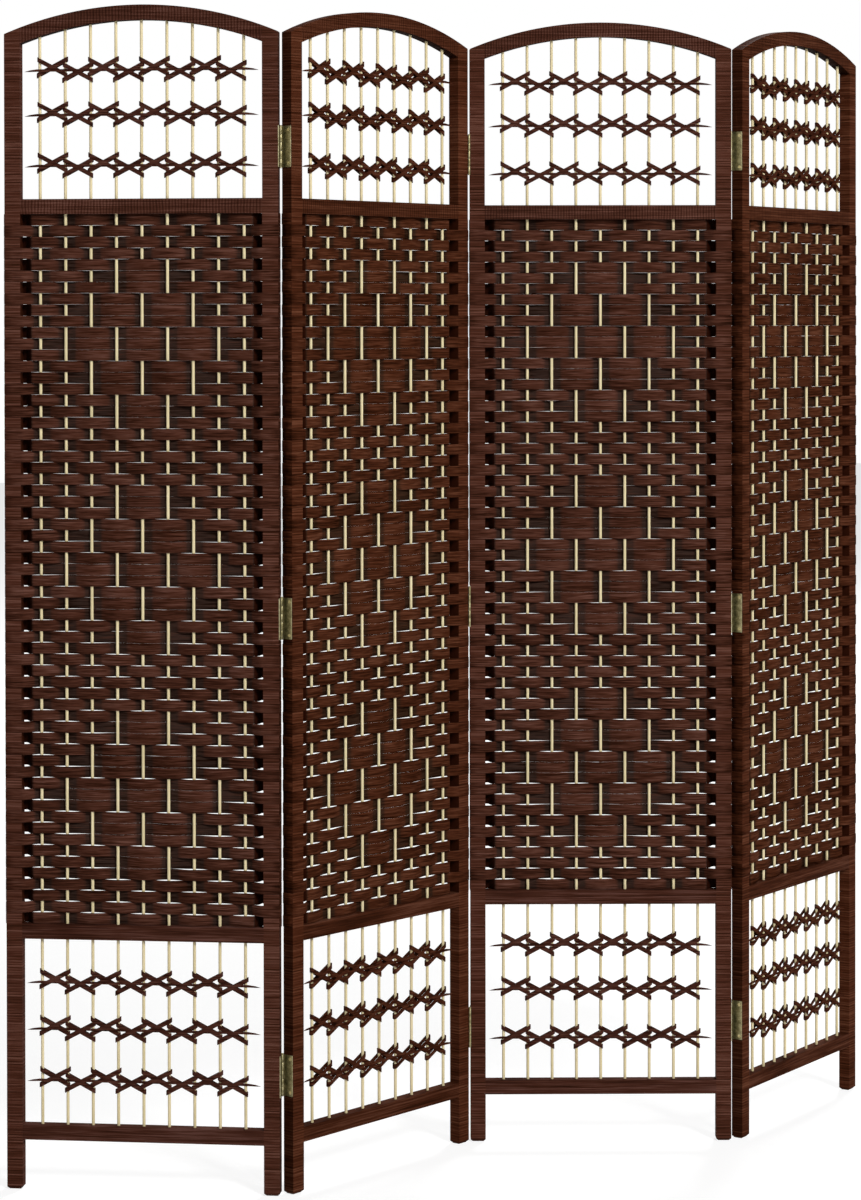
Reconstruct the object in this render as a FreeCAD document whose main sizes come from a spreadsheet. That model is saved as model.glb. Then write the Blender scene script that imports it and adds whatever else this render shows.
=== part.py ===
import FreeCAD, Part
import math
import os
import re
import Sketcher
from FreeCAD import Placement, Rotation, Vector

# Folding screen of four arched woven panels, standing in a zig-zag. Millimetres, +Z up, front towards -Y.
# Each panel is drawn with its left edge at x = 0, its front face at y = 0 and its feet at z = 0.

doc = FreeCAD.newDocument("folding_screen")
sheet = doc.addObject("Spreadsheet::Sheet", "sizes")

cells = [
    ("panel_width", 396.8),
    ("panel_depth", 18),
    ("crown_height", 1700),
    ("corner_height", 1660),
    ("stile_width", 22.9),
    ("rail_height", 21.5),
    ("bottom_rail_low", 72),
    ("lower_rail_low", 361.5),
    ("upper_rail_low", 1402),
    ("foot_chamfer", 3.5),
    ("corner_round", 2),
    ("outer_fold", 56.5),
    ("middle_fold", 49.5),
    ("rod_radius", 2.2),
    ("rod_pitch", 37),
    ("rod_count", 9),
    ("rod_play", 0.05),
    ("rod_seat", 8),
    ("dowel_radius", 4),
    ("dowel_in_stile", 10),
    ("dowel_in_rail", 12),
    ("dowel_play", 0.05),
    ("weave_rows", 63),
    ("strip_thickness", 0.7),
    ("strip_gap", 0.35),
    ("strip_play", 0.15),
    ("strip_flat", 4.5),
    ("strip_bend", 0.8),
    ("strip_end", 0.3),
    ("strip_pin_end", 2),
    ("wrap_play", 0.05),
    ("diamond_start", 5),
    ("diamond_spacing", 20),
    ("diamond_step", 3),
    ("diamond_count", 3),
    ("upper_cross_1", 1608.5),
    ("upper_cross_2", 1544.6),
    ("upper_cross_3", 1471.9),
    ("lower_cross_1", 299.3),
    ("lower_cross_2", 232.0),
    ("lower_cross_3", 158.0),
    ("cross_shift", 3.5),
    ("band_height", 6.8),
    ("band_rise", 19.6),
    ("band_thickness", 0.8),
    ("band_depth", 8.6),
    ("inner_loop_radius", 2.7),
    ("outer_loop_radius", 3.6),
    ("core_height", 3.6),
    ("core_thickness", 0.7),
    ("core_depth", 6.0),
    ("core_overrun", 4),
    ("core_point", 28),
    ("core_nib", 8),
    ("core_nib_height", 2.4),
    ("core_droop", 2),
    ("core_sag", 0.8),
    ("hinge_12_top", 1497),
    ("hinge_12_middle", 824),
    ("hinge_12_bottom", 170),
    ("hinge_23_top", 1500),
    ("hinge_23_middle", 815),
    ("hinge_23_bottom", 175),
    ("hinge_34_top", 1506),
    ("hinge_34_middle", 803),
    ("hinge_34_bottom", 181),
    ("hinge_length", 59),
    ("hinge_margin", 1),
    ("half_gap", 0.9),
    ("pin_proud", 1.7),
    ("pin_radius", 1.0),
    ("pin_play", 0.05),
    ("pin_head", 1.2),
    ("knuckle_radius", 1.8),
    ("knuckle_count", 5),
    ("knuckle_play", 0.1),
    ("leaf_thickness", 0.8),
    ("leaf_margin", 0.5),
    ("screw_spread", 24),
    ("screw_inset", 4.5),
    ("screw_radius", 1.3),
    ("screw_length", 13),
    ("screw_tip", 3),
    ("screw_play", 0.05),
    ("screw_head", 2.5),
    ("recess_length", 3.0),
    ("recess_width", 0.6),
    ("recess_depth", 0.6),
]
for line, (alias, amount) in enumerate(cells, start=1):
    sheet.set(f"A{line}", alias)
    sheet.set(f"B{line}", str(amount))
    sheet.setAlias(f"B{line}", alias)
doc.recompute()


def bound(text):
    return re.sub(r"[a-z]+(?:_[a-z0-9]+)+", lambda found: "sizes." + found.group(0), text)


def number(text):
    result = sheet.evalExpression(bound(text))
    return float(getattr(result, "Value", result))


# Arch geometry as expressions: one circle through both outer corners and the crown
rise = "(crown_height - corner_height)"
archRadius = f"(((panel_width / 2)^2 + {rise}^2) / (2 * {rise}))"
archCentre = f"(crown_height - {archRadius})"
innerRadius = f"({archRadius} - rail_height)"
stileReach = "(panel_width / 2 - stile_width)"
shoulder = f"({archCentre} + sqrt({archRadius}^2 - {stileReach}^2))"
spring = f"({archCentre} + sqrt({innerRadius}^2 - {stileReach}^2))"
farStile = "panel_width - stile_width"
middleDepth = "panel_depth / 2"
railLows = ("bottom_rail_low", "lower_rail_low", "upper_rail_low")
railMiddles = [f"{low} + rail_height / 2" for low in railLows]
jointMiddles = railMiddles + [f"({shoulder} + {spring}) / 2"]
rodBottom = "(bottom_rail_low + rail_height - rod_seat)"
rodReach = int((number("rod_count") - 1) / 2)


def rodTop(step):
    return f"({archCentre} + sqrt({innerRadius}^2 - ({step} * rod_pitch)^2) + rod_seat)"


def rodX(step):
    return f"panel_width / 2 + ({step}) * rod_pitch"


# Sketches are drawn from points given as expressions, so every corner follows the sheet
def newSketch(body, name, plane, offset=None):
    sketch = body.newObject("Sketcher::SketchObject", name)
    support = [item for item in body.Origin.OriginFeatures if item.Role == plane][0]
    sketch.AttachmentSupport = (support, [""])
    sketch.MapMode = "FlatFace"
    if offset:
        sketch.setExpression("AttachmentOffset.Base.z", bound(offset))
    return sketch


def pinPoint(sketch, geometry, spot, x, y):
    for kind, axis, text in (("DistanceX", -2, x), ("DistanceY", -1, y)):
        amount = number(text)
        if abs(amount) < 1e-9:
            sketch.addConstraint(Sketcher.Constraint("PointOnObject", geometry, spot, axis))
            continue
        index = sketch.addConstraint(Sketcher.Constraint(kind, -1, 1, geometry, spot, amount))
        sketch.renameConstraint(index, f"{kind}{geometry}at{spot}")
        sketch.setExpression(f"Constraints.{kind}{geometry}at{spot}", bound(text))


def pinRadius(sketch, geometry, radius):
    index = sketch.addConstraint(Sketcher.Constraint("Radius", geometry, number(radius)))
    sketch.renameConstraint(index, f"radius{geometry}")
    sketch.setExpression(f"Constraints.radius{geometry}", bound(radius))


def drawOutline(sketch, points, arcs):
    spots = [Vector(number(x), number(y), 0) for x, y in points]
    hub = Vector(number("panel_width / 2"), number(archCentre), 0)
    ends = []
    for index, start in enumerate(spots):
        end = spots[(index + 1) % len(spots)]
        if index not in arcs:
            sketch.addGeometry(Part.LineSegment(start, end))
            ends.append((1, 2))
            continue
        radius, leftward = arcs[index]
        low, high = (start, end) if leftward else (end, start)
        turn = [math.atan2(spot.y - hub.y, spot.x - hub.x) for spot in (low, high)]
        circle = Part.Circle(hub, Vector(0, 0, 1), number(radius))
        sketch.addGeometry(Part.ArcOfCircle(circle, turn[0], turn[1]))
        ends.append((1, 2) if leftward else (2, 1))
    for index in range(len(spots)):
        after = (index + 1) % len(spots)
        sketch.addConstraint(Sketcher.Constraint("Coincident", index, ends[index][1], after, ends[after][0]))
    for index, (x, y) in enumerate(points):
        pinPoint(sketch, index, ends[index][0], x, y)
    for index, (radius, leftward) in arcs.items():
        pinRadius(sketch, index, radius)


def padDepth(body, name, sketch):
    pad = body.newObject("PartDesign::Pad", name)
    pad.Profile = sketch
    pad.setExpression("Length", bound("panel_depth"))
    pad.Reversed = True
    doc.recompute()
    return pad


def bore(body, name, plane, offset, spots, radius, depth, forward):
    sketch = newSketch(body, name + "_sketch", plane, offset)
    for index, (x, y) in enumerate(spots):
        sketch.addGeometry(Part.Circle(Vector(number(x), number(y), 0), Vector(0, 0, 1), number(radius)))
        pinPoint(sketch, index, 3, x, y)
        pinRadius(sketch, index, radius)
    pocket = body.newObject("PartDesign::Pocket", name)
    pocket.Profile = sketch
    pocket.Reversed = forward
    if depth:
        pocket.setExpression("Length", bound(depth))
    else:
        pocket.Type = "ThroughAll"
    body.Tip = pocket
    return sketch, pocket


def rowOfBores(body, name, offset, depth):
    first = (rodX(-rodReach), middleDepth)
    sketch, pocket = bore(body, name, "XY_Plane", offset, [first], "rod_radius + rod_play", depth, False)
    row = body.newObject("PartDesign::LinearPattern", name + "_row")
    row.Originals = [pocket]
    row.Direction = (sketch, ["H_Axis"])
    row.setExpression("Length", bound("(rod_count - 1) * rod_pitch"))
    row.Occurrences = int(number("rod_count"))
    body.Tip = row


def newBody(label, place):
    body = doc.addObject("PartDesign::Body", label)
    body.Label = label
    body.Placement = place
    nodes.append(body)
    return body


# Zig-zag plan: hinge pins 12 and 34 lie behind the panels, pins 23 in front of them
def alongAndBack(turn):
    angle = math.radians(turn)
    return Vector(math.cos(angle), math.sin(angle), 0), Vector(-math.sin(angle), math.cos(angle), 0)


def panelPlaces():
    half = number("middle_fold / 2")
    turns = [half - number("outer_fold"), half, -half, number("outer_fold") - half]
    u1, u2, u3, u4 = [alongAndBack(turn) for turn in turns]
    reach = number("panel_width + half_gap")
    gap = number("half_gap")
    front = number("pin_proud")
    back = number("panel_depth + pin_proud")
    start2 = u2[0] * -reach + u2[1] * front
    start3 = u3[0] * gap + u3[1] * front
    pin12 = start2 - u2[0] * gap + u2[1] * back
    pin34 = start3 + u3[0] * reach + u3[1] * back
    start1 = pin12 - u1[0] * reach - u1[1] * back
    start4 = pin34 + u4[0] * gap - u4[1] * back
    starts = [start1, start2, start3, start4]
    skin = number("strip_thickness + wrap_play")
    across = (-skin, number("panel_width") + skin)
    through = (-skin, number("panel_depth") + skin)
    ys = []
    for start, (along, behind) in zip(starts, (u1, u2, u3, u4)):
        ys += [(start + along * x + behind * y).y for x in across for y in through]
    shift = Vector(0, -(min(ys) + max(ys)) / 2, 0)
    spin = [Rotation(Vector(0, 0, 1), turn) for turn in turns]
    pins = [pin12 + shift, shift, pin34 + shift]
    return [Placement(start + shift, turn) for start, turn in zip(starts, spin)], pins


nodes = []
places, pinSpots = panelPlaces()
hingeHeights = {}
for joint in ("12", "23", "34"):
    hingeHeights[joint] = [f"hinge_{joint}_{level}" for level in ("top", "middle", "bottom")]


# Frame of one panel: two full-height stiles, an arched rail and three straight rails between them
def edgesWhere(shape, test):
    edges = enumerate(shape.Edges, start=1)
    return [f"Edge{index}" for index, edge in edges if all(test(vertex.Point) for vertex in edge.Vertexes)]


def makeStile(panel, onLeft, joint):
    side = "left" if onLeft else "right"
    body = newBody(f"panel_{panel}_{side}_stile", places[panel - 1])
    near = "0" if onLeft else farStile
    far = "stile_width" if onLeft else "panel_width"
    tops = [(far, shoulder), (near, "corner_height")]
    if not onLeft:
        tops = [(far, "corner_height"), (near, shoulder)]
    sketch = newSketch(body, f"{body.Name}_outline", "XZ_Plane")
    drawOutline(sketch, [(near, "0"), (far, "0")] + tops, {2: (archRadius, True)})
    pad = padDepth(body, f"{body.Name}_pad", sketch)
    outerX = 0 if onLeft else number("panel_width")
    topCorner = Vector(outerX, 0, number("corner_height"))
    rounded = body.newObject("PartDesign::Fillet", f"{body.Name}_corner")
    atCorner = edgesWhere(pad.Shape, lambda spot: Vector(spot.x, 0, spot.z).isEqual(topCorner, 1e-6))
    rounded.Base = (pad, atCorner)
    rounded.setExpression("Radius", bound("corner_round"))
    doc.recompute()
    foot = body.newObject("PartDesign::Chamfer", f"{body.Name}_foot")
    foot.Base = (rounded, edgesWhere(rounded.Shape, lambda spot: abs(spot.z) < 1e-6))
    foot.setExpression("Size", bound("foot_chamfer"))
    body.Tip = foot
    inner = "stile_width" if onLeft else farStile
    spots = [(middleDepth, height) for height in jointMiddles]
    bore(body, f"{body.Name}_dowel_holes", "YZ_Plane", inner, spots, "dowel_radius + dowel_play",
         "dowel_in_stile + dowel_play", not onLeft)
    if joint:
        depth = "panel_depth - leaf_margin - screw_inset" if joint == "23" else "leaf_margin + screw_inset"
        spots = []
        for height in hingeHeights[joint]:
            spots += [(depth, f"{height} + {way} * screw_spread") for way in (-1, 1)]
        outer = None if onLeft else "panel_width"
        bore(body, f"{body.Name}_screw_holes", "YZ_Plane", outer, spots, "screw_radius + screw_play",
             "screw_length + screw_tip + screw_play", onLeft)


def dowelEnds(body, height):
    for end, offset, forward in (("left", "stile_width", True), ("right", farStile, False)):
        bore(body, f"{body.Name}_{end}_dowel_hole", "YZ_Plane", offset, [(middleDepth, height)],
             "dowel_radius + dowel_play", "dowel_in_rail + dowel_play", forward)


def makeRail(panel, name, low, height, seat):
    body = newBody(f"panel_{panel}_{name}", places[panel - 1])
    sketch = newSketch(body, f"{body.Name}_outline", "XZ_Plane")
    high = f"{low} + rail_height"
    drawOutline(sketch, [("stile_width", low), (farStile, low), (farStile, high), ("stile_width", high)], {})
    padDepth(body, f"{body.Name}_pad", sketch)
    rowOfBores(body, f"{body.Name}_rod_holes", high, seat)
    dowelEnds(body, height)


def makeArch(panel):
    body = newBody(f"panel_{panel}_arch_rail", places[panel - 1])
    sketch = newSketch(body, f"{body.Name}_outline", "XZ_Plane")
    corners = [("stile_width", spring), (farStile, spring), (farStile, shoulder), ("stile_width", shoulder)]
    drawOutline(sketch, corners, {0: (innerRadius, False), 2: (archRadius, True)})
    padDepth(body, f"{body.Name}_pad", sketch)
    for step in range(rodReach + 1):
        spots = [(rodX(way * step), middleDepth) for way in ((-1, 1) if step else (1,))]
        bore(body, f"{body.Name}_rod_holes_{step}", "XY_Plane", None, spots, "rod_radius + rod_play",
             f"{rodTop(step)} + rod_play", True)
    dowelEnds(body, jointMiddles[3])


# Round pieces are plain cylinders; identical ones are grouped under one node
def newCylinder(name, radius, length, x, y, z, rotation=Rotation()):
    cylinder = doc.addObject("Part::Cylinder", name)
    cylinder.setExpression("Radius", bound(radius))
    cylinder.setExpression("Height", bound(length))
    cylinder.Placement = Placement(Vector(), rotation)
    for axis, text in (("x", x), ("y", y), ("z", z)):
        cylinder.setExpression(f"Placement.Base.{axis}", bound(text))
    return cylinder


def newGroup(label, members, place):
    group = doc.addObject("Part::Compound", label)
    group.Label = label
    group.Links = members
    group.Placement = place
    nodes.append(group)
    return group


def makeRods(panel):
    rods = []
    for step in range(-rodReach, rodReach + 1):
        name = f"panel_{panel}_rod_{step + rodReach + 1}"
        length = f"{rodTop(abs(step))} - {rodBottom}"
        rods.append(newCylinder(name, "rod_radius", length, rodX(step), middleDepth, rodBottom))
    newGroup(f"panel_{panel}_rods", rods, places[panel - 1])


def makeDowels(panel):
    alongX = Rotation(Vector(0, 1, 0), 90)
    length = "dowel_in_stile + dowel_in_rail"
    starts = {"left": "stile_width - dowel_in_stile", "right": f"{farStile} - dowel_in_rail"}
    dowels = []
    for index, height in enumerate(jointMiddles, start=1):
        for side, start in starts.items():
            name = f"panel_{panel}_{side}_dowel_{index}"
            dowels.append(newCylinder(name, "dowel_radius", length, start, middleDepth, height, alongX))
    newGroup(f"panel_{panel}_dowels", dowels, places[panel - 1])


# Weave: a strip passes behind the rods that show in its row and in front of the others
def rodShows(row, rod):
    widths = (1, 2, 3, 2, 1)
    diamond, local = divmod(row - int(number("diamond_start")), int(number("diamond_spacing")))
    block = local // int(number("diamond_step"))
    away = abs(rod - rodReach - 1)
    if 0 <= diamond < number("diamond_count") and block < len(widths) and away <= widths[block]:
        return (away + widths[block]) % 2 == 0
    return (row + rod) % 2 == 1


def stripEnd(row, edgeFree, pinBehind):
    skin = number("wrap_play + strip_thickness / 2")
    depth = number("panel_depth")
    overFront = row % 2 == 0
    face = -skin if overFront else depth + skin
    inner = (number("stile_width + strip_bend"), face)
    short = number("strip_end")
    if edgeFree:
        return [(-skin, depth - short if overFront else short), (-skin, face), inner]
    onPinSide = pinBehind != overFront
    return [(number("strip_pin_end") if onPinSide else short, face), inner]


def stripPath(row, leftEnd, rightEnd):
    offset = number("rod_radius + strip_play + strip_thickness / 2")
    flat = number("strip_flat")
    path = list(leftEnd)
    count = int(number("rod_count"))
    sides = [1 if rodShows(row, rod) else -1 for rod in range(1, count + 1)]
    for rod, side in enumerate(sides, start=1):
        x = number(rodX(rod - rodReach - 1))
        y = number(middleDepth) + side * offset
        before = sides[rod - 2] if rod > 1 else -side
        after = sides[rod] if rod < count else -side
        if before != side:
            path.append((x - flat, y))
        if after != side:
            path.append((x + flat, y))
    width = number("panel_width")
    path += [(width - x, y) for x, y in reversed(rightEnd)]
    return path


def ribbonFace(path, thickness):
    points = [Vector(x, y, 0) for x, y in path]
    normals = []
    for first, second in zip(points, points[1:]):
        along = (second - first).normalize()
        normals.append(Vector(-along.y, along.x, 0))
    bends = [normals[0]]
    for first, second in zip(normals, normals[1:]):
        bends.append((first + second) * (1 / (1 + first.dot(second))))
    bends.append(normals[-1])
    upper = [point + bend * (thickness / 2) for point, bend in zip(points, bends)]
    lower = [point - bend * (thickness / 2) for point, bend in zip(points, bends)]
    loop = upper + lower[::-1]
    return Part.Face(Part.makePolygon(loop + loop[:1]))


def nearHinge(low, high, joint):
    if not joint:
        return False
    reach = number("hinge_length / 2 + pin_head + hinge_margin")
    heights = [number(height) for height in hingeHeights[joint]]
    return any(low < height + reach and high > height - reach for height in heights)


def newShapes(label, shapes, place):
    feature = doc.addObject("Part::Feature", label)
    feature.Label = label
    feature.Shape = Part.makeCompound(shapes)
    feature.Placement = place
    nodes.append(feature)


def makeWeave(panel, leftJoint, rightJoint):
    rows = int(number("weave_rows"))
    pitch = number("(upper_rail_low - lower_rail_low - rail_height) / weave_rows")
    gap = number("strip_gap")
    thickness = number("strip_thickness")
    strips = []
    for row in range(1, rows + 1):
        low = number("upper_rail_low") - row * pitch + gap / 2
        high = low + pitch - gap
        ends = []
        for joint in (leftJoint, rightJoint):
            ends.append(stripEnd(row, not nearHinge(low, high, joint), joint != "23"))
        face = ribbonFace(stripPath(row, ends[0], ends[1]), thickness)
        face.translate(Vector(0, 0, low))
        strips.append(face.extrude(Vector(0, 0, high - low)))
    newShapes(f"panel_{panel}_woven_strips", strips, places[panel - 1])


# Open sections: slanting bands looped round neighbouring rods, crossing in pairs, with a core strip between
def loopPrism(radius, height):
    span = number("rod_pitch / 2")
    half = Vector(0, 0, -height / 2)
    straight = Part.makeBox(2 * span, 2 * radius, height, half + Vector(-span, -radius, 0))
    rounds = [Part.makeCylinder(radius, height, half + Vector(way * span, 0, 0)) for way in (-1, 1)]
    return straight.fuse(rounds).removeSplitter()


def crossBand(radius, way):
    thickness = number("band_thickness")
    tall = 3 * number("band_rise")
    tube = loopPrism(radius + thickness, tall).cut(loopPrism(radius, tall))
    reach = number("rod_pitch")
    slope = way * number("band_rise / rod_pitch") * reach
    half = number("band_height / 2")
    outline = [(-reach, -slope - half), (reach, slope - half), (reach, slope + half), (-reach, -slope + half)]
    corners = [Vector(x, -10, z) for x, z in outline]
    slab = Part.Face(Part.makePolygon(corners + corners[:1])).extrude(Vector(0, 20, 0))
    return tube.common(slab).Solids[0]


def coreStrip():
    half = number("core_height / 2")
    tip = number("panel_width / 2 - core_point")
    body = number("rod_pitch") * rodReach + number("core_overrun")
    nib = tip - number("core_nib")
    slim = number("core_nib_height / 2")
    drop = -number("core_droop")
    bend = drop * number("core_nib") / (tip - body)
    right = [(body, -half), (nib, bend - slim), (tip, drop), (nib, bend + slim), (body, half)]
    outline = right + [(-x, z) for x, z in reversed(right)]
    corners = [Vector(x, number("core_depth"), z) for x, z in outline]
    face = Part.Face(Part.makePolygon(corners + corners[:1]))
    return face.extrude(Vector(0, number("core_thickness"), 0))


def makeLattice(panel, section):
    shapes = []
    middle = number("panel_width / 2")
    for level in (1, 2, 3):
        z = number(f"{section}_cross_{level}")
        shapes.append(core.translated(Vector(middle, 0, z - number("core_sag"))))
        for gap in range(2 * rodReach):
            x = middle + (gap - rodReach + 0.5) * number("rod_pitch")
            shift = number("cross_shift") * (1 if gap % 2 == 0 else -1)
            spot = Vector(x, number("band_depth"), z + shift)
            shapes.append(risingBand.translated(spot))
            shapes.append(fallingBand.translated(spot))
    newShapes(f"panel_{panel}_{section}_lattice", shapes, places[panel - 1])


# Hinge pieces are drawn from the stile edge outwards: x off the edge face, y past the face on the pin side
def newBox(name, spans):
    box = doc.addObject("Part::Box", name)
    for side, axis, (low, high) in zip(("Length", "Width", "Height"), "xyz", spans):
        box.setExpression(side, bound(f"({high}) - ({low})"))
        box.setExpression(f"Placement.Base.{axis}", bound(low))
    return box


def newCone(name, radii, length, x, y, z):
    cone = doc.addObject("Part::Cone", name)
    cone.setExpression("Radius1", bound(radii[0]))
    cone.setExpression("Radius2", bound(radii[1]))
    cone.setExpression("Height", bound(length))
    cone.Placement = Placement(Vector(), Rotation(Vector(0, 1, 0), 90))
    for axis, text in (("x", x), ("y", y), ("z", z)):
        cone.setExpression(f"Placement.Base.{axis}", bound(text))
    return cone


def fuseAndCut(name, added, removed):
    fused = doc.addObject("Part::MultiFuse", name + "_blank")
    fused.Shapes = added
    if not removed:
        return fused
    tools = doc.addObject("Part::Compound", name + "_holes")
    tools.Links = removed
    piece = doc.addObject("Part::Cut", name)
    piece.Base = fused
    piece.Tool = tools
    return piece


screwY = "leaf_margin + screw_inset - panel_depth"
screwZ = [f"hinge_length / 2 + {way} * screw_spread" for way in (-1, 1)]


def makeLeaf(name, knuckles):
    plate = [("0", "leaf_thickness"), ("leaf_margin - panel_depth", "-leaf_margin"), ("0", "hinge_length")]
    added = [newBox(name + "_plate", plate)]
    for knuckle in knuckles:
        low = f"hinge_length / knuckle_count * {knuckle} + knuckle_play"
        high = f"hinge_length / knuckle_count * {knuckle + 1} - knuckle_play"
        tab = [("0", "leaf_thickness"), ("-2 * leaf_margin", "pin_proud"), (low, high)]
        added.append(newBox(f"{name}_tab_{knuckle}", tab))
        barrel = (f"{high} - ({low})", "half_gap", "pin_proud", low)
        added.append(newCylinder(f"{name}_barrel_{knuckle}", "knuckle_radius", *barrel))
    removed = [newCylinder(name + "_bore", "pin_radius + pin_play", "hinge_length", "half_gap", "pin_proud",
                           "0")]
    widths = ("screw_head - leaf_thickness + screw_play", "screw_head + screw_play")
    for index, z in enumerate(screwZ):
        removed.append(newCone(f"{name}_countersink_{index}", widths, "leaf_thickness", "0", screwY, z))
    return fuseAndCut(name, added, removed)


def makePin():
    added = [newCylinder("pin_shaft", "pin_radius", "hinge_length + 2 * knuckle_play + pin_head", "half_gap",
                         "pin_proud", "-knuckle_play - pin_head / 2")]
    for end, z in (("low", "-knuckle_play - pin_head"), ("high", "hinge_length + knuckle_play")):
        added.append(newCylinder(f"pin_{end}_head", "knuckle_radius", "pin_head", "half_gap", "pin_proud", z))
    return fuseAndCut("pin", added, [])


def makeScrew():
    inward = Rotation(Vector(0, 1, 0), 90)
    flare = ("screw_head - leaf_thickness", "screw_head")
    head = newCone("screw_head_cone", flare, "leaf_thickness", "0", "0", "0")
    shank = newCylinder("screw_shank", "screw_radius", "screw_length", "-screw_length", "0", "0", inward)
    point = ("screw_radius / 4", "screw_radius")
    tip = newCone("screw_point", point, "screw_tip", "-screw_length - screw_tip", "0", "0")
    deep = ("leaf_thickness - recess_depth", "leaf_thickness")
    wide = ("-recess_width / 2", "recess_width / 2")
    long = ("-recess_length / 2", "recess_length / 2")
    recess = [newBox("recess_upright", [deep, wide, long]), newBox("recess_level", [deep, long, wide])]
    return fuseAndCut("screw", [head, shank, tip], recess)


def leafPlace(onRightEdge, pinBehind, height):
    x = number("panel_width") if onRightEdge else 0
    y = number("panel_depth") if pinBehind else 0
    middle = number("hinge_length / 2")
    if onRightEdge == pinBehind:
        turn = Rotation() if onRightEdge else Rotation(Vector(0, 0, 1), 180)
        return Placement(Vector(x, y, height - middle), turn)
    flip = Vector(1, 0, 0) if onRightEdge else Vector(0, 1, 0)
    return Placement(Vector(x, y, height + middle), Rotation(flip, 180))


def newCopies(label, piece, spots, place):
    copies = []
    for index, spot in enumerate(spots, start=1):
        copy = doc.addObject("App::Link", f"{label}_{index}")
        copy.LinkedObject = piece
        copy.LinkTransform = False
        copy.Placement = spot
        copies.append(copy)
    newGroup(label, copies, place)


def makeHinges(joint):
    pinBehind = joint != "23"
    for side, panel, onRightEdge in (("left", int(joint[0]), True), ("right", int(joint[1]), False)):
        heights = [number(height) for height in hingeHeights[joint]]
        spots = [leafPlace(onRightEdge, pinBehind, height) for height in heights]
        place = places[panel - 1]
        newCopies(f"hinge_{joint}_{side}_leaves", leftLeaf if side == "left" else rightLeaf, spots, place)
        screwSpots = []
        for spot in spots:
            for z in screwZ:
                screwSpots.append(spot.multiply(Placement(Vector(0, number(screwY), number(z)), Rotation())))
        newCopies(f"hinge_{joint}_{side}_screws", screw, screwSpots, place)
        if side == "left":
            newCopies(f"hinge_{joint}_pins", pin, spots, place)


core = coreStrip()
risingBand = crossBand(number("outer_loop_radius"), 1)
fallingBand = crossBand(number("inner_loop_radius"), -1)
leftLeaf = makeLeaf("left_leaf", (0, 2, 4))
rightLeaf = makeLeaf("right_leaf", (1, 3))
pin = makePin()
screw = makeScrew()
doc.recompute()

jointOnLeft = (None, "12", "23", "34")
jointOnRight = ("12", "23", "34", None)
for panel in (1, 2, 3, 4):
    makeStile(panel, True, jointOnLeft[panel - 1])
    makeStile(panel, False, jointOnRight[panel - 1])
    makeArch(panel)
    makeRail(panel, "upper_rail", "upper_rail_low", railMiddles[2], None)
    makeRail(panel, "lower_rail", "lower_rail_low", railMiddles[1], None)
    makeRail(panel, "bottom_rail", "bottom_rail_low", railMiddles[0], "rod_seat + rod_play")
    makeRods(panel)
    makeDowels(panel)
    makeWeave(panel, jointOnLeft[panel - 1], jointOnRight[panel - 1])
    makeLattice(panel, "upper")
    makeLattice(panel, "lower")
for joint in ("12", "23", "34"):
    makeHinges(joint)
doc.recompute()

for item in doc.Objects:
    if "Invalid" in item.State or "Error" in item.State:
        raise RuntimeError(f"{item.Name} did not recompute: {item.State}")
os.makedirs("parts", exist_ok=True)
box = FreeCAD.BoundBox()
for node in nodes:
    shape = node.Shape
    if shape.isNull() or not shape.isValid():
        raise RuntimeError(f"{node.Label} has no valid shape")
    box.add(shape.BoundBox)
    shape.exportStep(f"parts/{node.Label}.step")
    print(f"{node.Label:28s} solids {len(shape.Solids):3d}  volume {shape.Volume:12.1f}")
print(f"nodes {len(nodes)}  size {box.XLength:.2f} {box.YLength:.2f} {box.ZLength:.2f}  middle {box.Center}")
print("pins", [(round(spot.x, 4), round(spot.y, 4)) for spot in pinSpots])
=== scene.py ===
import bmesh
import bpy
import math
import random
from mathutils import Matrix, Vector, noise


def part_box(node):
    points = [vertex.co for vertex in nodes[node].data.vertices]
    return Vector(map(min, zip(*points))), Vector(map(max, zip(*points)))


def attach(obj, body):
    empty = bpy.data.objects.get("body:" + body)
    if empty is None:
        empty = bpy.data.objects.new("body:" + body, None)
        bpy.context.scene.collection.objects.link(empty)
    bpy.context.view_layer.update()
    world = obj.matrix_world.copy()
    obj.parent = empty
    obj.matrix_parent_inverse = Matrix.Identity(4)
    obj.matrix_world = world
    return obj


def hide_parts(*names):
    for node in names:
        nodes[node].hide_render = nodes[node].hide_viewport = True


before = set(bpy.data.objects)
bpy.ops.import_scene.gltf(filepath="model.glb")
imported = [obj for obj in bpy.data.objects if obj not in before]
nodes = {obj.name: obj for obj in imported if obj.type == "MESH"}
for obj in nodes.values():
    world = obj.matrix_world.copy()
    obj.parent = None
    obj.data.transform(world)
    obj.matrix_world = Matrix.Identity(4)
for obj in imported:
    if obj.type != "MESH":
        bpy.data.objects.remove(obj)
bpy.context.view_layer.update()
print("frame loaded:", len(nodes), "nodes")

panelFrame = {  # metres, as in the frame's stiles and rods
    "width": 0.3968,
    "depth": 0.018,
    "stileWidth": 0.0229,
    "rodCount": 9,
    "middleRod": 5,
    "rodPitch": 0.037,
    "rodRadius": 0.0022,
}
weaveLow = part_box("panel_1_lower_rail")[1].z
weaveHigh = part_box("panel_1_upper_rail")[0].z


def placeOfPanel(panel):
    middles = []
    for side in ("left", "right"):
        low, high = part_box(f"panel_{panel}_{side}_stile")
        middles.append((low + high) / 2)
    along = middles[1] - middles[0]
    along.z = 0
    along.normalize()
    back = Vector((-along.y, along.x, 0))
    corner = middles[0] - along * panelFrame["stileWidth"] / 2 - back * panelFrame["depth"] / 2
    corner.z = 0
    columns = Matrix((along, back, Vector((0, 0, 1)))).transposed()
    return Matrix.Translation(corner) @ columns.to_4x4()


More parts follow.
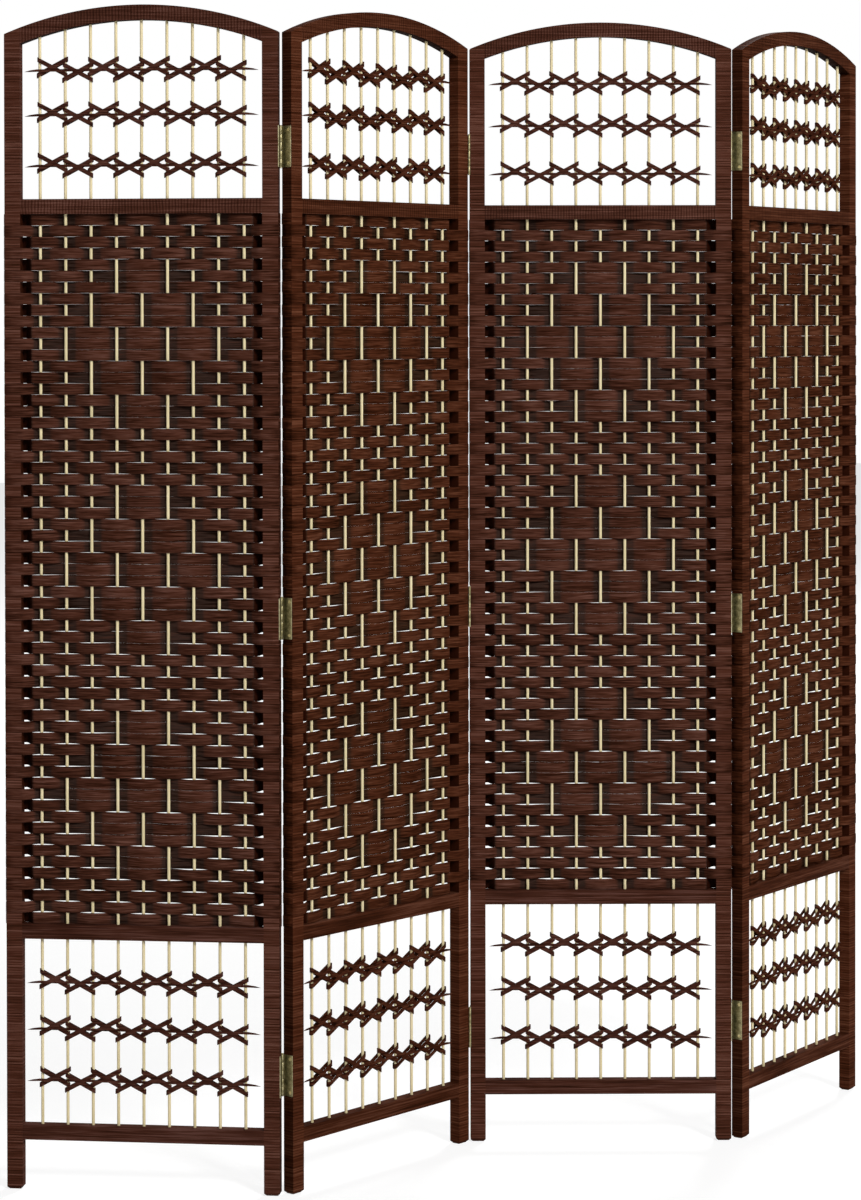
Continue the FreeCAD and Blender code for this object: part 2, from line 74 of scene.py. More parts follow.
def hexColour(code):  # sRGB hex to linear
    channels = [int(code[i:i + 2], 16) / 255 for i in (1, 3, 5)]
    return [c / 12.92 if c <= 0.04045 else ((c + 0.055) / 1.055) ** 2.4 for c in channels] + [1.0]


def perMetre(*sizes):  # pattern scale for sizes in millimetres
    return [1000 / size for size in sizes]


def waveScale(spacing):  # a wave texture of scale 1 repeats every pi / 10 metres
    return math.pi / 10 * 1000 / spacing


def addNode(tree, kind, settings=None, links=None):
    node = tree.nodes.new(kind)
    for name, value in (settings or {}).items():
        if name == "stops":  # colour ramp stops as (place, hex)
            ramp = node.color_ramp
            while len(ramp.elements) < len(value):
                ramp.elements.new(1.0)
            for element, (place, code) in zip(ramp.elements, value):
                element.position = place
                element.color = hexColour(code)
        elif isinstance(name, str) and hasattr(node, name):
            setattr(node, name, value)
        else:
            node.inputs[name].default_value = value
    for name, source in (links or {}).items():
        tree.links.new(source, node.inputs[name])
    return node


def newMaterial(name):
    material = bpy.data.materials.new(name)
    material.use_nodes = True
    tree = material.node_tree
    return material, tree, tree.nodes["Principled BSDF"]


# stained pine: sawn softwood under a dark red-brown stain; dull, with fine lines across the stiles
stainedPine = {
    "lineMm": 2.4,  # spacing of the grain lines
    "lineRunMm": 170,  # how far one line runs
    "poreMm": 1.3,
    "poreRunMm": 40,
    "poreShare": 0.3,
    "patchMm": 90,
    "patchShare": 0.14,
    "sawMm": 3.9,  # spacing of the fine saw lines across the stiles
    "sawBend": 0.1,  # keeps them nearly straight
    "sawMarks": [(0.0, "#6e6e6e"), (0.35, "#c8c8c8"), (1.0, "#cecece")],
    "stileSaw": 0.3,  # how strongly they show on the stiles and on the arch
    "archSaw": 0.22,
    "crossMm": 7.7,  # spacing of the marks across the arch and the upper rail, with a fainter mark between
    "crossMarks": [(0.0, "#555555"), (0.3, "#cccccc"), (0.7, "#cccccc"), (1.0, "#838383")],
    "archCross": 0.42,
    "tones": (0.39, 0.5, 0.62),  # where the three colours lie on the grain
    "dark": "#27130a",
    "middle": "#402218",
    "light": "#5b3c32",
    "roughness": 0.6,
    "specular": 0.004,  # the stain soaks in and leaves next to no shine
    "bumpStrength": 0.25,
    "bumpDistance": 0.0004,
    "hollowShade": "#2c1208",  # painted shade on the stiles' sides beside the weave, between the wraps, where the wraps keep the light out
    "edgeShade": 0.6,  # painted shade on the stiles' outer side faces
    "underShade": 0.3,  # painted shade on the underside of the arch
    "facing": 0.8,  # a face counts as an edge from here on
}
# arch and upper rail: the same stain on cross-cut stock, which drinks more of it
railPine = dict(stainedPine, dark="#25120b", middle="#3e2219", light="#5b3d34")
# lower rails: long-grained, a shade darker again
lowRailPine = dict(railPine, middle="#3a1f16", light="#52362f")
# painted light: a wash per panel; the second and fourth, turned the other way to the lamps, come out redder,
# standing in for the greyer sheen on the first and third
panelLightWash = {1: "#ffffff", 2: "#fae9cb", 3: "#ffffff", 4: "#fae9cb"}


def shadeFaces(tree, coords, colour, way, facing, share):  # paints shade on the faces that look one way
    turned = addNode(tree, "ShaderNodeVectorMath", {"operation": "DOT_PRODUCT", 1: way},
                     {0: coords.outputs["Normal"]})
    there = addNode(tree, "ShaderNodeMath", {"operation": "GREATER_THAN", 1: facing},
                    {0: turned.outputs["Value"]})
    shade = addNode(tree, "ShaderNodeMapRange", {"To Min": 1.0, "To Max": share},
                    {"Value": there.outputs[0]})
    shaded = addNode(tree, "ShaderNodeMix", {"data_type": "RGBA", "blend_type": "MULTIPLY", "Factor": 1.0},
                     {6: colour, 7: shade.outputs["Result"]})
    return turned, there, shaded


def makeStainedPine(name, s, lightWash, sawLines=0.0, crossLines=0.0, stile=None, arch=False):
    material, tree, shader = newMaterial(name)
    coords = addNode(tree, "ShaderNodeTexCoord")
    place = coords.outputs["Object"]
    lineScale = perMetre(s["lineRunMm"], s["lineRunMm"], s["lineMm"])
    lineMap = addNode(tree, "ShaderNodeMapping", {"Scale": lineScale}, {"Vector": place})
    lineLook = {"Scale": 1.0, "Detail": 3.0, "Roughness": 0.62, "Distortion": 0.1}
    lines = addNode(tree, "ShaderNodeTexNoise", lineLook, {"Vector": lineMap.outputs["Vector"]})
    poreScale = perMetre(s["poreRunMm"], s["poreRunMm"], s["poreMm"])
    poreMap = addNode(tree, "ShaderNodeMapping", {"Scale": poreScale}, {"Vector": place})
    poreLook = {"Scale": 1.0, "Detail": 2.0, "Roughness": 0.5}
    pores = addNode(tree, "ShaderNodeTexNoise", poreLook, {"Vector": poreMap.outputs["Vector"]})
    patchLook = {"Scale": 1000 / s["patchMm"], "Detail": 2.0}
    patches = addNode(tree, "ShaderNodeTexNoise", patchLook, {"Vector": place})
    crossLook = {"Scale": waveScale(s["crossMm"]), "Distortion": 1.2, "Detail": 2.0}
    bands = addNode(tree, "ShaderNodeTexWave", crossLook, {"Vector": place})
    cross = addNode(tree, "ShaderNodeValToRGB", {"stops": s["crossMarks"]}, {"Fac": bands.outputs["Fac"]})
    withCross = addNode(tree, "ShaderNodeMix", {"data_type": "FLOAT", "Factor": crossLines},
                        {2: lines.outputs["Fac"], 3: cross.outputs["Color"]})
    sawScale = (s["sawBend"], s["sawBend"], 1.0)
    sawMap = addNode(tree, "ShaderNodeMapping", {"Scale": sawScale}, {"Vector": place})
    sawLook = {"bands_direction": "Z", "Scale": waveScale(s["sawMm"]), "Distortion": 2.0, "Detail": 2.0}
    teeth = addNode(tree, "ShaderNodeTexWave", sawLook, {"Vector": sawMap.outputs["Vector"]})
    saw = addNode(tree, "ShaderNodeValToRGB", {"stops": s["sawMarks"]}, {"Fac": teeth.outputs["Fac"]})
    withSaw = addNode(tree, "ShaderNodeMix", {"data_type": "FLOAT", "Factor": sawLines},
                      {2: withCross.outputs[0], 3: saw.outputs["Color"]})
    grain = addNode(tree, "ShaderNodeMix", {"data_type": "FLOAT", "Factor": s["poreShare"]},
                    {2: withSaw.outputs[0], 3: pores.outputs["Fac"]})
    tone = addNode(tree, "ShaderNodeMix", {"data_type": "FLOAT", "Factor": s["patchShare"]},
                   {2: grain.outputs[0], 3: patches.outputs["Fac"]})
    stops = list(zip(s["tones"], (s["dark"], s["middle"], s["light"])))
    colour = addNode(tree, "ShaderNodeValToRGB", {"stops": stops}, {"Fac": tone.outputs[0]})
    # painted light: the panel's wash
    wash = {"data_type": "RGBA", "blend_type": "MULTIPLY", "Factor": 1.0, 7: hexColour(lightWash)}
    washed = addNode(tree, "ShaderNodeMix", wash, {6: colour.outputs["Color"]})
    finish = washed
    # painted shade on the arch's downward faces
    if arch:
        below = Vector((0, 0, -1))
        finish = shadeFaces(tree, coords, washed.outputs[2], below, s["facing"], s["underShade"])[2]
    # painted shade: the stile's outer side face is darkened, and both side faces beside the weave, between
    # the wraps, take the darker hollow-shade colour
    if stile:
        outward, low, high = stile
        turned, outer, shaded = shadeFaces(
            tree, coords, washed.outputs[2], outward, s["facing"], s["edgeShade"])
        inner = addNode(tree, "ShaderNodeMath", {"operation": "LESS_THAN", 1: -s["facing"]},
                        {0: turned.outputs["Value"]})
        sideways = addNode(tree, "ShaderNodeMath", {"operation": "ADD"},
                           {0: inner.outputs[0], 1: outer.outputs[0]})
        height = addNode(tree, "ShaderNodeSeparateXYZ", {}, {"Vector": place})
        besideWeave = {"operation": "COMPARE", 1: (low + high) / 2, 2: (high - low) / 2}
        wrapped = addNode(tree, "ShaderNodeMath", besideWeave, {0: height.outputs["Z"]})
        both = addNode(tree, "ShaderNodeMath", {"operation": "MULTIPLY"},
                       {0: sideways.outputs[0], 1: wrapped.outputs[0]})
        finish = addNode(tree, "ShaderNodeMix", {"data_type": "RGBA", 7: hexColour(s["hollowShade"])},
                         {"Factor": both.outputs[0], 6: shaded.outputs[2]})
    bump = addNode(tree, "ShaderNodeBump", {"Strength": s["bumpStrength"], "Distance": s["bumpDistance"]},
                   {"Height": grain.outputs[0]})
    tree.links.new(finish.outputs[2], shader.inputs["Base Color"])
    tree.links.new(bump.outputs["Normal"], shader.inputs["Normal"])
    shader.inputs["Roughness"].default_value = s["roughness"]
    shader.inputs["Specular IOR Level"].default_value = s["specular"]
    return material


# stained fibre strip: plant fibres pressed flat and dyed, dull, each fibre a light or near-black streak
stainedFibre = {
    "fibreMm": 1.7,  # real fibres are about 0.4 mm; drawn coarser so that they show
    "fibreRunMm": 48,
    "hairMm": 0.9,
    "hairRunMm": 20,
    "hairShare": 0.3,
    "tones": (0.3, 0.42, 0.53, 0.72),  # where the four colours lie on the streaks
    "black": "#160904",
    "dark": "#2b150d",
    "middle": "#41241a",
    "light": "#5f4138",
    "tuckedShadeTones": (0.38, 0.53, 0.72),
    "tuckedShade": "#2f221d",  # painted shade: grey-brown of the strip where it lies tucked in behind a rod or stile
    "pitShadow": "#220a03",  # painted shadow where a strip turns in behind a stile
    "roughness": 0.65,
    "specular": 0.004,  # as dull as the wood
    "bumpStrength": 0.45,
    "bumpDistance": 0.0005,
}
# bands of the open sections: the same fibre, soaked a little longer and so a shade darker
soakedFibre = dict(stainedFibre, black="#130602", dark="#26120c", middle="#3e221a", light="#5a3d33")


def makeStainedFibre(name, s, lightWash):
    material, tree, shader = newMaterial(name)
    place = addNode(tree, "ShaderNodeTexCoord").outputs["Object"]
    fibreScale = perMetre(s["fibreRunMm"], s["fibreRunMm"], s["fibreMm"])
    fibreMap = addNode(tree, "ShaderNodeMapping", {"Scale": fibreScale}, {"Vector": place})
    fibreLook = {"Scale": 1.0, "Detail": 3.0, "Roughness": 0.6, "Distortion": 0.2}
    fibres = addNode(tree, "ShaderNodeTexNoise", fibreLook, {"Vector": fibreMap.outputs["Vector"]})
    hairScale = perMetre(s["hairRunMm"], s["hairRunMm"], s["hairMm"])
    hairMap = addNode(tree, "ShaderNodeMapping", {"Scale": hairScale}, {"Vector": place})
    hairLook = {"Scale": 1.0, "Detail": 2.0}
    hairs = addNode(tree, "ShaderNodeTexNoise", hairLook, {"Vector": hairMap.outputs["Vector"]})
    streaks = addNode(tree, "ShaderNodeMix", {"data_type": "FLOAT", "Factor": s["hairShare"]},
                      {2: fibres.outputs["Fac"], 3: hairs.outputs["Fac"]})
    # each row's random tone, lowered for painted shade round the stile's outer edge
    toneAndEdgeShade = addNode(tree, "ShaderNodeAttribute", {"attribute_name": "stripTone"})
    toned = addNode(tree, "ShaderNodeMath", {"operation": "ADD"},
                    {0: streaks.outputs[0], 1: toneAndEdgeShade.outputs["Fac"]})
    stops = list(zip(s["tones"], (s["black"], s["dark"], s["middle"], s["light"])))
    stained = addNode(tree, "ShaderNodeValToRGB", {"stops": stops}, {"Fac": toned.outputs[0]})
    # painted shade: the greyer colour where the strip lies tucked in behind a rod or stile
    tuckedShadeStops = list(zip(s["tuckedShadeTones"], (s["black"], s["tuckedShade"], s["middle"])))
    tuckedShadeColour = addNode(tree, "ShaderNodeValToRGB", {"stops": tuckedShadeStops}, {"Fac": toned.outputs[0]})
    tucked = addNode(tree, "ShaderNodeAttribute", {"attribute_name": "tucked"})  # see tuckedAt
    tuckedShadeShare = addNode(tree, "ShaderNodeMapRange", {"From Max": 1.0}, {"Value": tucked.outputs["Fac"]})
    # painted shadow where a strip turns in behind a stile
    hollowShade = addNode(tree, "ShaderNodeMapRange", {"From Min": 1.0, "From Max": 2.0},
                     {"Value": tucked.outputs["Fac"]})
    withTuckedShade = addNode(tree, "ShaderNodeMix", {"data_type": "RGBA"}, {
        "Factor": tuckedShadeShare.outputs["Result"], 6: stained.outputs["Color"], 7: tuckedShadeColour.outputs["Color"]})
    colour = addNode(tree, "ShaderNodeMix", {"data_type": "RGBA", 7: hexColour(s["pitShadow"])}, {
        "Factor": hollowShade.outputs["Result"], 6: withTuckedShade.outputs[2]})
    # painted light: the panel's wash
    wash = {"data_type": "RGBA", "blend_type": "MULTIPLY", "Factor": 1.0, 7: hexColour(lightWash)}
    washed = addNode(tree, "ShaderNodeMix", wash, {6: colour.outputs[2]})
    bump = addNode(tree, "ShaderNodeBump", {"Strength": s["bumpStrength"], "Distance": s["bumpDistance"]},
                   {"Height": streaks.outputs[0]})
    tree.links.new(washed.outputs[2], shader.inputs["Base Color"])
    tree.links.new(bump.outputs["Normal"], shader.inputs["Normal"])
    shader.inputs["Roughness"].default_value = s["roughness"]
    shader.inputs["Specular IOR Level"].default_value = s["specular"]
    return material


# peeled bamboo rod: pale straw, faint long streaks, a soft shine
peeledBamboo = {
    "streakMm": 0.9,
    "streakRunMm": 120,
    "blotchMm": 60,
    "blotchShare": 0.4,
    "tones": (0.32, 0.5, 0.7),
    "shade": "#b3a47c",
    "middle": "#c6b78f",
    "light": "#d6c8a4",
    "roughness": 0.42,
    "specular": 0.4,
    "bumpStrength": 0.2,
    "bumpDistance": 0.0002,
}


def makePeeledBamboo(name, s):
    material, tree, shader = newMaterial(name)
    place = addNode(tree, "ShaderNodeTexCoord").outputs["Object"]
    streakScale = perMetre(s["streakMm"], s["streakMm"], s["streakRunMm"])
    streakMap = addNode(tree, "ShaderNodeMapping", {"Scale": streakScale}, {"Vector": place})
    streaks = addNode(tree, "ShaderNodeTexNoise", {"Scale": 1.0, "Detail": 2.0},
                      {"Vector": streakMap.outputs["Vector"]})
    blotchLook = {"Scale": 1000 / s["blotchMm"], "Detail": 2.0}
    blotches = addNode(tree, "ShaderNodeTexNoise", blotchLook, {"Vector": place})
    tone = addNode(tree, "ShaderNodeMix", {"data_type": "FLOAT", "Factor": s["blotchShare"]},
                   {2: streaks.outputs["Fac"], 3: blotches.outputs["Fac"]})
    stops = list(zip(s["tones"], (s["shade"], s["middle"], s["light"])))
    colour = addNode(tree, "ShaderNodeValToRGB", {"stops": stops}, {"Fac": tone.outputs[0]})
    bump = addNode(tree, "ShaderNodeBump", {"Strength": s["bumpStrength"], "Distance": s["bumpDistance"]},
                   {"Height": streaks.outputs["Fac"]})
    tree.links.new(colour.outputs["Color"], shader.inputs["Base Color"])
    tree.links.new(bump.outputs["Normal"], shader.inputs["Normal"])
    shader.inputs["Roughness"].default_value = s["roughness"]
    shader.inputs["Specular IOR Level"].default_value = s["specular"]
    return material


# aged brass: pressed sheet left to tarnish, olive-brown, duller and darker in blotches
agedBrass = {
    "blotchMm": 6,
    "speckMm": 1.6,
    "speckShare": 0.35,
    "tones": (0.33, 0.5, 0.68),
    "tarnish": "#45422b",
    "middle": "#807856",
    "rubbed": "#c6be9a",
    "roughTones": (0.35, 0.65),
    "roughness": (0.65, 0.42),  # tarnished, rubbed
    "bumpStrength": 0.15,
    "bumpDistance": 0.0002,
    "sheenReachMm": 20,  # reach of the painted sheen from the pin: a painted highlight at the knuckle, painted dark reflection beside it, then painted highlight again
    "paintedSheen": [(0.0, "#bcbcbc"), (0.1, "#c8c8c8"), (0.3, "#7c7c7c"), (0.42, "#7c7c7c"), (0.6, "#b8b8b8"),
             (0.95, "#e4e4e4")],
    "sheenShare": 0.4,
}
# screws: the same brass, rubbed bright by the driver
rubbedBrass = dict(agedBrass, tarnish="#8a8058", middle="#cfc394", rubbed="#efe4bb")


def makeAgedBrass(name, s, pin=None):
    material, tree, shader = newMaterial(name)
    place = addNode(tree, "ShaderNodeTexCoord").outputs["Object"]
    blotchLook = {"Scale": 1000 / s["blotchMm"], "Detail": 4.0}
    blotches = addNode(tree, "ShaderNodeTexNoise", blotchLook, {"Vector": place})
    speckLook = {"Scale": 1000 / s["speckMm"], "Detail": 2.0}
    specks = addNode(tree, "ShaderNodeTexNoise", speckLook, {"Vector": place})
    tone = addNode(tree, "ShaderNodeMix", {"data_type": "FLOAT", "Factor": s["speckShare"]},
                   {2: blotches.outputs["Fac"], 3: specks.outputs["Fac"]})
    # painted sheen around the pin: highlight at the knuckle, dark reflection beside it, highlight further out
    if pin:
        plan = Vector((1000 / s["sheenReachMm"], 1000 / s["sheenReachMm"], 0))
        planMap = addNode(tree, "ShaderNodeMapping", {"Scale": plan}, {"Vector": place})
        reach = addNode(tree, "ShaderNodeVectorMath", {"operation": "DISTANCE", 1: pin * plan},
                        {0: planMap.outputs["Vector"]})
        paintedSheen = addNode(tree, "ShaderNodeValToRGB", {"stops": s["paintedSheen"]}, {"Fac": reach.outputs["Value"]})
        tone = addNode(tree, "ShaderNodeMix", {"data_type": "FLOAT", "Factor": s["sheenShare"]},
                       {2: tone.outputs[0], 3: paintedSheen.outputs["Color"]})
    stops = list(zip(s["tones"], (s["tarnish"], s["middle"], s["rubbed"])))
    colour = addNode(tree, "ShaderNodeValToRGB", {"stops": stops}, {"Fac": tone.outputs[0]})
    dullness = {"From Min": s["roughTones"][0], "From Max": s["roughTones"][1],
                "To Min": s["roughness"][0], "To Max": s["roughness"][1]}
    dull = addNode(tree, "ShaderNodeMapRange", dullness, {"Value": tone.outputs[0]})
    bump = addNode(tree, "ShaderNodeBump", {"Strength": s["bumpStrength"], "Distance": s["bumpDistance"]},
                   {"Height": specks.outputs["Fac"]})
    tree.links.new(colour.outputs["Color"], shader.inputs["Base Color"])
    tree.links.new(dull.outputs["Result"], shader.inputs["Roughness"])
    tree.links.new(bump.outputs["Normal"], shader.inputs["Normal"])
    shader.inputs["Metallic"].default_value = 1.0
    return material


# frame pieces, rods, bands and hinges keep their solids and get a finish and softened edges
softEdge = {  # metres and degrees
    "pine": 0.0002,
    "fibre": 0.00015,
    "leaf": 0.0002,
    "pin": 0.0003,
    "none": 0.0,
    "seam": 0.00001,
    "sharp": 40,
    "segments": 2,
}
bambooRod = makePeeledBamboo("peeledBamboo", peeledBamboo)
screwBrass = makeAgedBrass("rubbedBrass", rubbedBrass)
finishes = []  # start of the node's name, word in it, material, edge softening; the first that fits counts
stripFinish = {}
for joint in ("hinge_12", "hinge_23", "hinge_34"):
    low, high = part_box(f"{joint}_pins")
    hingeBrass = makeAgedBrass(f"agedBrass{joint[-2:]}", agedBrass, (low + high) / 2)
    finishes += [
        (joint, "leaves", hingeBrass, softEdge["leaf"]),
        (joint, "screws", screwBrass, softEdge["none"]),
        (joint, "pins", hingeBrass, softEdge["pin"]),
    ]
for panel, lightWash in panelLightWash.items():
    along = placeOfPanel(panel).col[0].to_3d()
    leftPine = makeStainedPine(f"stainedPineLeft{panel}", stainedPine, lightWash,
                               sawLines=stainedPine["stileSaw"], stile=(-along, weaveLow, weaveHigh))
    rightPine = makeStainedPine(f"stainedPineRight{panel}", stainedPine, lightWash,
                                sawLines=stainedPine["stileSaw"], stile=(along, weaveLow, weaveHigh))
    archPine = makeStainedPine(f"stainedPineArch{panel}", railPine, lightWash,
                               sawLines=railPine["archSaw"], crossLines=railPine["archCross"], arch=True)
    plainPine = makeStainedPine(f"stainedPineRail{panel}", lowRailPine, lightWash)
    bandFibre = makeStainedFibre(f"soakedFibre{panel}", soakedFibre, lightWash)
    stripFinish[panel] = makeStainedFibre(f"stainedFibre{panel}", stainedFibre, lightWash)
    wholePanel = f"panel_{panel}"
    finishes += [
        (wholePanel, "left_stile", leftPine, softEdge["pine"]),
        (wholePanel, "right_stile", rightPine, softEdge["pine"]),
        (wholePanel, "arch_rail", archPine, softEdge["pine"]),
        (wholePanel, "upper_rail", archPine, softEdge["pine"]),
        (wholePanel, "rail", plainPine, softEdge["pine"]),
        (wholePanel, "dowels", plainPine, softEdge["none"]),
        (wholePanel, "rods", bambooRod, softEdge["none"]),
        (wholePanel, "lattice", bandFibre, softEdge["fibre"]),
    ]
print("materials made")


def finishNode(piece, material, edge):
    piece.data.materials.clear()
    piece.data.materials.append(material)
    if edge:
        weld = piece.modifiers.new("joinSeams", "WELD")
        weld.merge_threshold = softEdge["seam"]
        soft = piece.modifiers.new("softEdges", "BEVEL")
        soft.width = edge
        soft.segments = softEdge["segments"]
        soft.limit_method = "ANGLE"
        soft.angle_limit = math.radians(softEdge["sharp"])
        soft.harden_normals = True


for name, piece in nodes.items():
    for start, word, material, edge in finishes:
        if name.startswith(start) and word in name:
            finishNode(piece, material, edge)
            break
print("frame nodes finished")

# woven strips: one band for each row, waving past the rods and wrapped round the stiles
wovenStrips = {  # metres where it is a length
    "rows": 63,
    "seed": 40,
    "thickness": 0.0007,
    "gap": 0.00004,  # rows are beaten down onto each other
    "rodPlay": 0.0012,  # the stiff strips bow out a little past the rods
    "wrapPlay": 0.00005,
    "freeEnd": 0.0003,
    "pinEnd": 0.002,  # a strip ends this far from a stile's corner beside a hinge pin
    "flapLeast": 0.0015,  # what is left of a wrap above or below a hinge is at least this wide
    "crown": 0.00008,  # how far a strip's middle stands out
    "edgeRound": 0.0005,
    "edgeWander": 0.0003,  # uneven long edges, the same for both rows that meet
    "wanderPerMetre": 45,
    "wanderLayer": 0.3,
    "edgeOpen": 0.0007,  # here and there two rows part
    "openPerMetre": 28,
    "openLayer": 7.1,
    "openFrom": 0.35,
    "apartOpen": 0.00006,  # they part a little more where they pass on either side of a rod
    "seamsPerPanel": 100,
    "seamStep": 1.7,  # sets one seam's unevenness apart from the next
    "frontTurn": (0.0, 0.95),  # where, from stile to rod, a strip off the stile's front turns in
    "backTurn": (0.14, 0.62),  # where a strip from behind the stile comes forward
    "turnSpread": 0.0011,  # a strip spreads while it comes forward from behind a stile
    "spreadRise": 0.15,
    "spreadFall": 0.25,
    "spreadEnd": 0.85,
    "shadeReach": (0.0011, 0.0022),  # painted shade sets in where a strip lies this far behind the middle
    "shadeSlant": 0.0015,  # and reaches a little further right than left
    "shadeBlend": 0.12,
    "shadeFrom": 0.66,  # beside a stile, where in the turn the painted shade begins
    # painted shadow where a strip turns in behind a stile: where it ends in the turn, and how strong
    "hollowShadeTo": 0.99,
    "hollowShade": 1.85,
    "toneSpread": 0.035,
    "wrapTone": 0.07,  # painted shade: how much darker a strip is round the stile's outer edge
    "stepsPerGap": 12,
    "stepsLevel": 4,
    "stepsAtStile": 18,
    "wrapSteps": 4,
    "diamondStart": 5,
    "diamondSpacing": 20,
    "diamondCount": 3,
    "diamondStep": 3,
    "diamondWidths": (1, 2, 3, 2, 1),
}
hinges = {  # heights of the hinge middles, and how far a strip keeps clear of them
    "12": (1.497, 0.824, 0.170),
    "23": (1.500, 0.815, 0.175),
    "34": (1.506, 0.803, 0.181),
    "reach": 0.0317,
}


def rodShows(row, rod):
    s = wovenStrips
    widths = s["diamondWidths"]
    diamond, local = divmod(row - s["diamondStart"], s["diamondSpacing"])
    block = local // s["diamondStep"]
    away = abs(rod - panelFrame["middleRod"])
    if 0 <= diamond < s["diamondCount"] and block < len(widths) and away <= widths[block]:
        return (away + widths[block]) % 2 == 0
    return (row + rod) % 2 == 1


def wrapLine(overFront):  # round the stile's outer face, from its far corner to the near one
    s = wovenStrips
    skin = s["wrapPlay"] + s["thickness"] / 2
    depth = panelFrame["depth"]
    corner = 0 if overFront else depth
    far = depth - s["freeEnd"] if overFront else s["freeEnd"]
    line = [(-skin, far), (-skin, depth / 2)]
    for step in range(s["wrapSteps"] + 1):
        turn = math.pi / 2 * step / s["wrapSteps"]
        out = -skin * math.cos(turn)
        side = -skin * math.sin(turn) if overFront else skin * math.sin(turn)
        line.append((out, corner + side))
    return line


def faceDepth(row):  # even rows lie over the stile's front, odd ones behind it
    skin = wovenStrips["wrapPlay"] + wovenStrips["thickness"] / 2
    return -skin if row % 2 == 0 else panelFrame["depth"] + skin


def faceLine(row, start):  # on the stile's face, inwards
    return [(x, faceDepth(row)) for x in (start, panelFrame["stileWidth"] / 2, panelFrame["stileWidth"])]


def rodSwing():  # how far from the middle a strip passes a rod
    return panelFrame["rodRadius"] + wovenStrips["rodPlay"] + wovenStrips["thickness"] / 2


def rowPosts(row):  # where the strip leaves the stiles and where it passes the rods
    p = panelFrame
    posts = [(p["stileWidth"], faceDepth(row))]
    for rod in range(1, p["rodCount"] + 1):
        side = rodSwing() if rodShows(row, rod) else -rodSwing()
        posts.append((p["width"] / 2 + (rod - p["middleRod"]) * p["rodPitch"], p["depth"] / 2 + side))
    return posts + [(p["width"] - p["stileWidth"], faceDepth(row))]


def smooth(t):
    return (1 - math.cos(math.pi * min(max(t, 0), 1))) / 2


def depthAt(posts, x):
    gap = 0
    while gap < len(posts) - 2 and x > posts[gap + 1][0]:
        gap += 1
    (x0, y0), (x1, y1) = posts[gap], posts[gap + 1]
    t = (x - x0) / (x1 - x0)
    start, end = 0, 1
    if gap == 0:
        start, end = wovenStrips["frontTurn" if y0 < y1 else "backTurn"]
    elif gap == len(posts) - 2:
        start, end = [1 - turn for turn in reversed(wovenStrips["frontTurn" if y1 < y0 else "backTurn"])]
    return y0 + (y1 - y0) * smooth((t - start) / (end - start))


def stripLine(row, leftEnd, rightEnd):  # centre line in plan, left to right
    posts = rowPosts(row)
    line = list(leftEnd)
    for index, ((x0, y0), (x1, y1)) in enumerate(zip(posts, posts[1:])):
        steps = wovenStrips["stepsLevel" if y0 == y1 else "stepsPerGap"]
        if index in (0, len(posts) - 2):
            steps = wovenStrips["stepsAtStile"]
        for step in range(1, steps + 1):
            x = x0 + (x1 - x0) * step / steps
            line.append((x, depthAt(posts, x)))
    return line + [(panelFrame["width"] - x, y) for x, y in reversed(rightEnd[:-1])]


def seamAt(panel, boundary, x):  # how the seam between two rows wanders and opens
    s = wovenStrips
    seed = (panel * s["seamsPerPanel"] + boundary) * s["seamStep"]
    shift = noise.noise((x * s["wanderPerMetre"], seed, s["wanderLayer"])) * s["edgeWander"]
    parting = noise.noise((x * s["openPerMetre"], seed, s["openLayer"])) - s["openFrom"]
    opened = s["gap"] + max(0, parting) * s["edgeOpen"]
    if 0 < boundary < s["rows"]:
        apart = abs(depthAt(rowPosts(boundary), x) - depthAt(rowPosts(boundary + 1), x))
        opened += s["apartOpen"] * min(1, apart / (2 * rodSwing()))
    return shift, opened


def turnAt(row, x):  # how far a strip has turned from the stile, 0, to the nearest rod, 1; None past that rod
    posts = rowPosts(row)
    for (stileX, stileY), (rodX, rodY) in ((posts[0], posts[1]), (posts[-1], posts[-2])):
        if min(stileX, rodX) < x < max(stileX, rodX):
            return (depthAt(posts, x) - stileY) / (rodY - stileY)
    return None if posts[1][0] <= x <= posts[-2][0] else 0


def spreadAt(row, x):
    s = wovenStrips
    turn = turnAt(row, x)
    if row % 2 == 0 or turn is None:
        return 0
    rise = smooth(turn / s["spreadRise"])
    fall = smooth((s["spreadEnd"] - turn) / s["spreadFall"])
    return s["turnSpread"] * rise * fall


def tuckedAt(row, x, fromFront):  # for one side: 0 without painted shade, 1 painted shade where the strip is tucked behind a rod or stile, 2 painted shadow where it turns in behind a stile
    s = wovenStrips
    posts = rowPosts(row)
    turn = turnAt(row, x)
    onFrontOfStile = row % 2 == 0
    if turn is not None:
        if not posts[0][0] < x < posts[-1][0]:
            return 0
        if onFrontOfStile == fromFront:
            return smooth((turn - s["shadeFrom"]) / s["shadeBlend"])
        return s["hollowShade"] * smooth((s["hollowShadeTo"] - turn) / s["shadeBlend"])
    side = 1 if fromFront else -1
    slanted = depthAt(posts, x - s["shadeSlant"]) - panelFrame["depth"] / 2
    low, high = s["shadeReach"]
    return smooth((side * slanted - low) / (high - low))


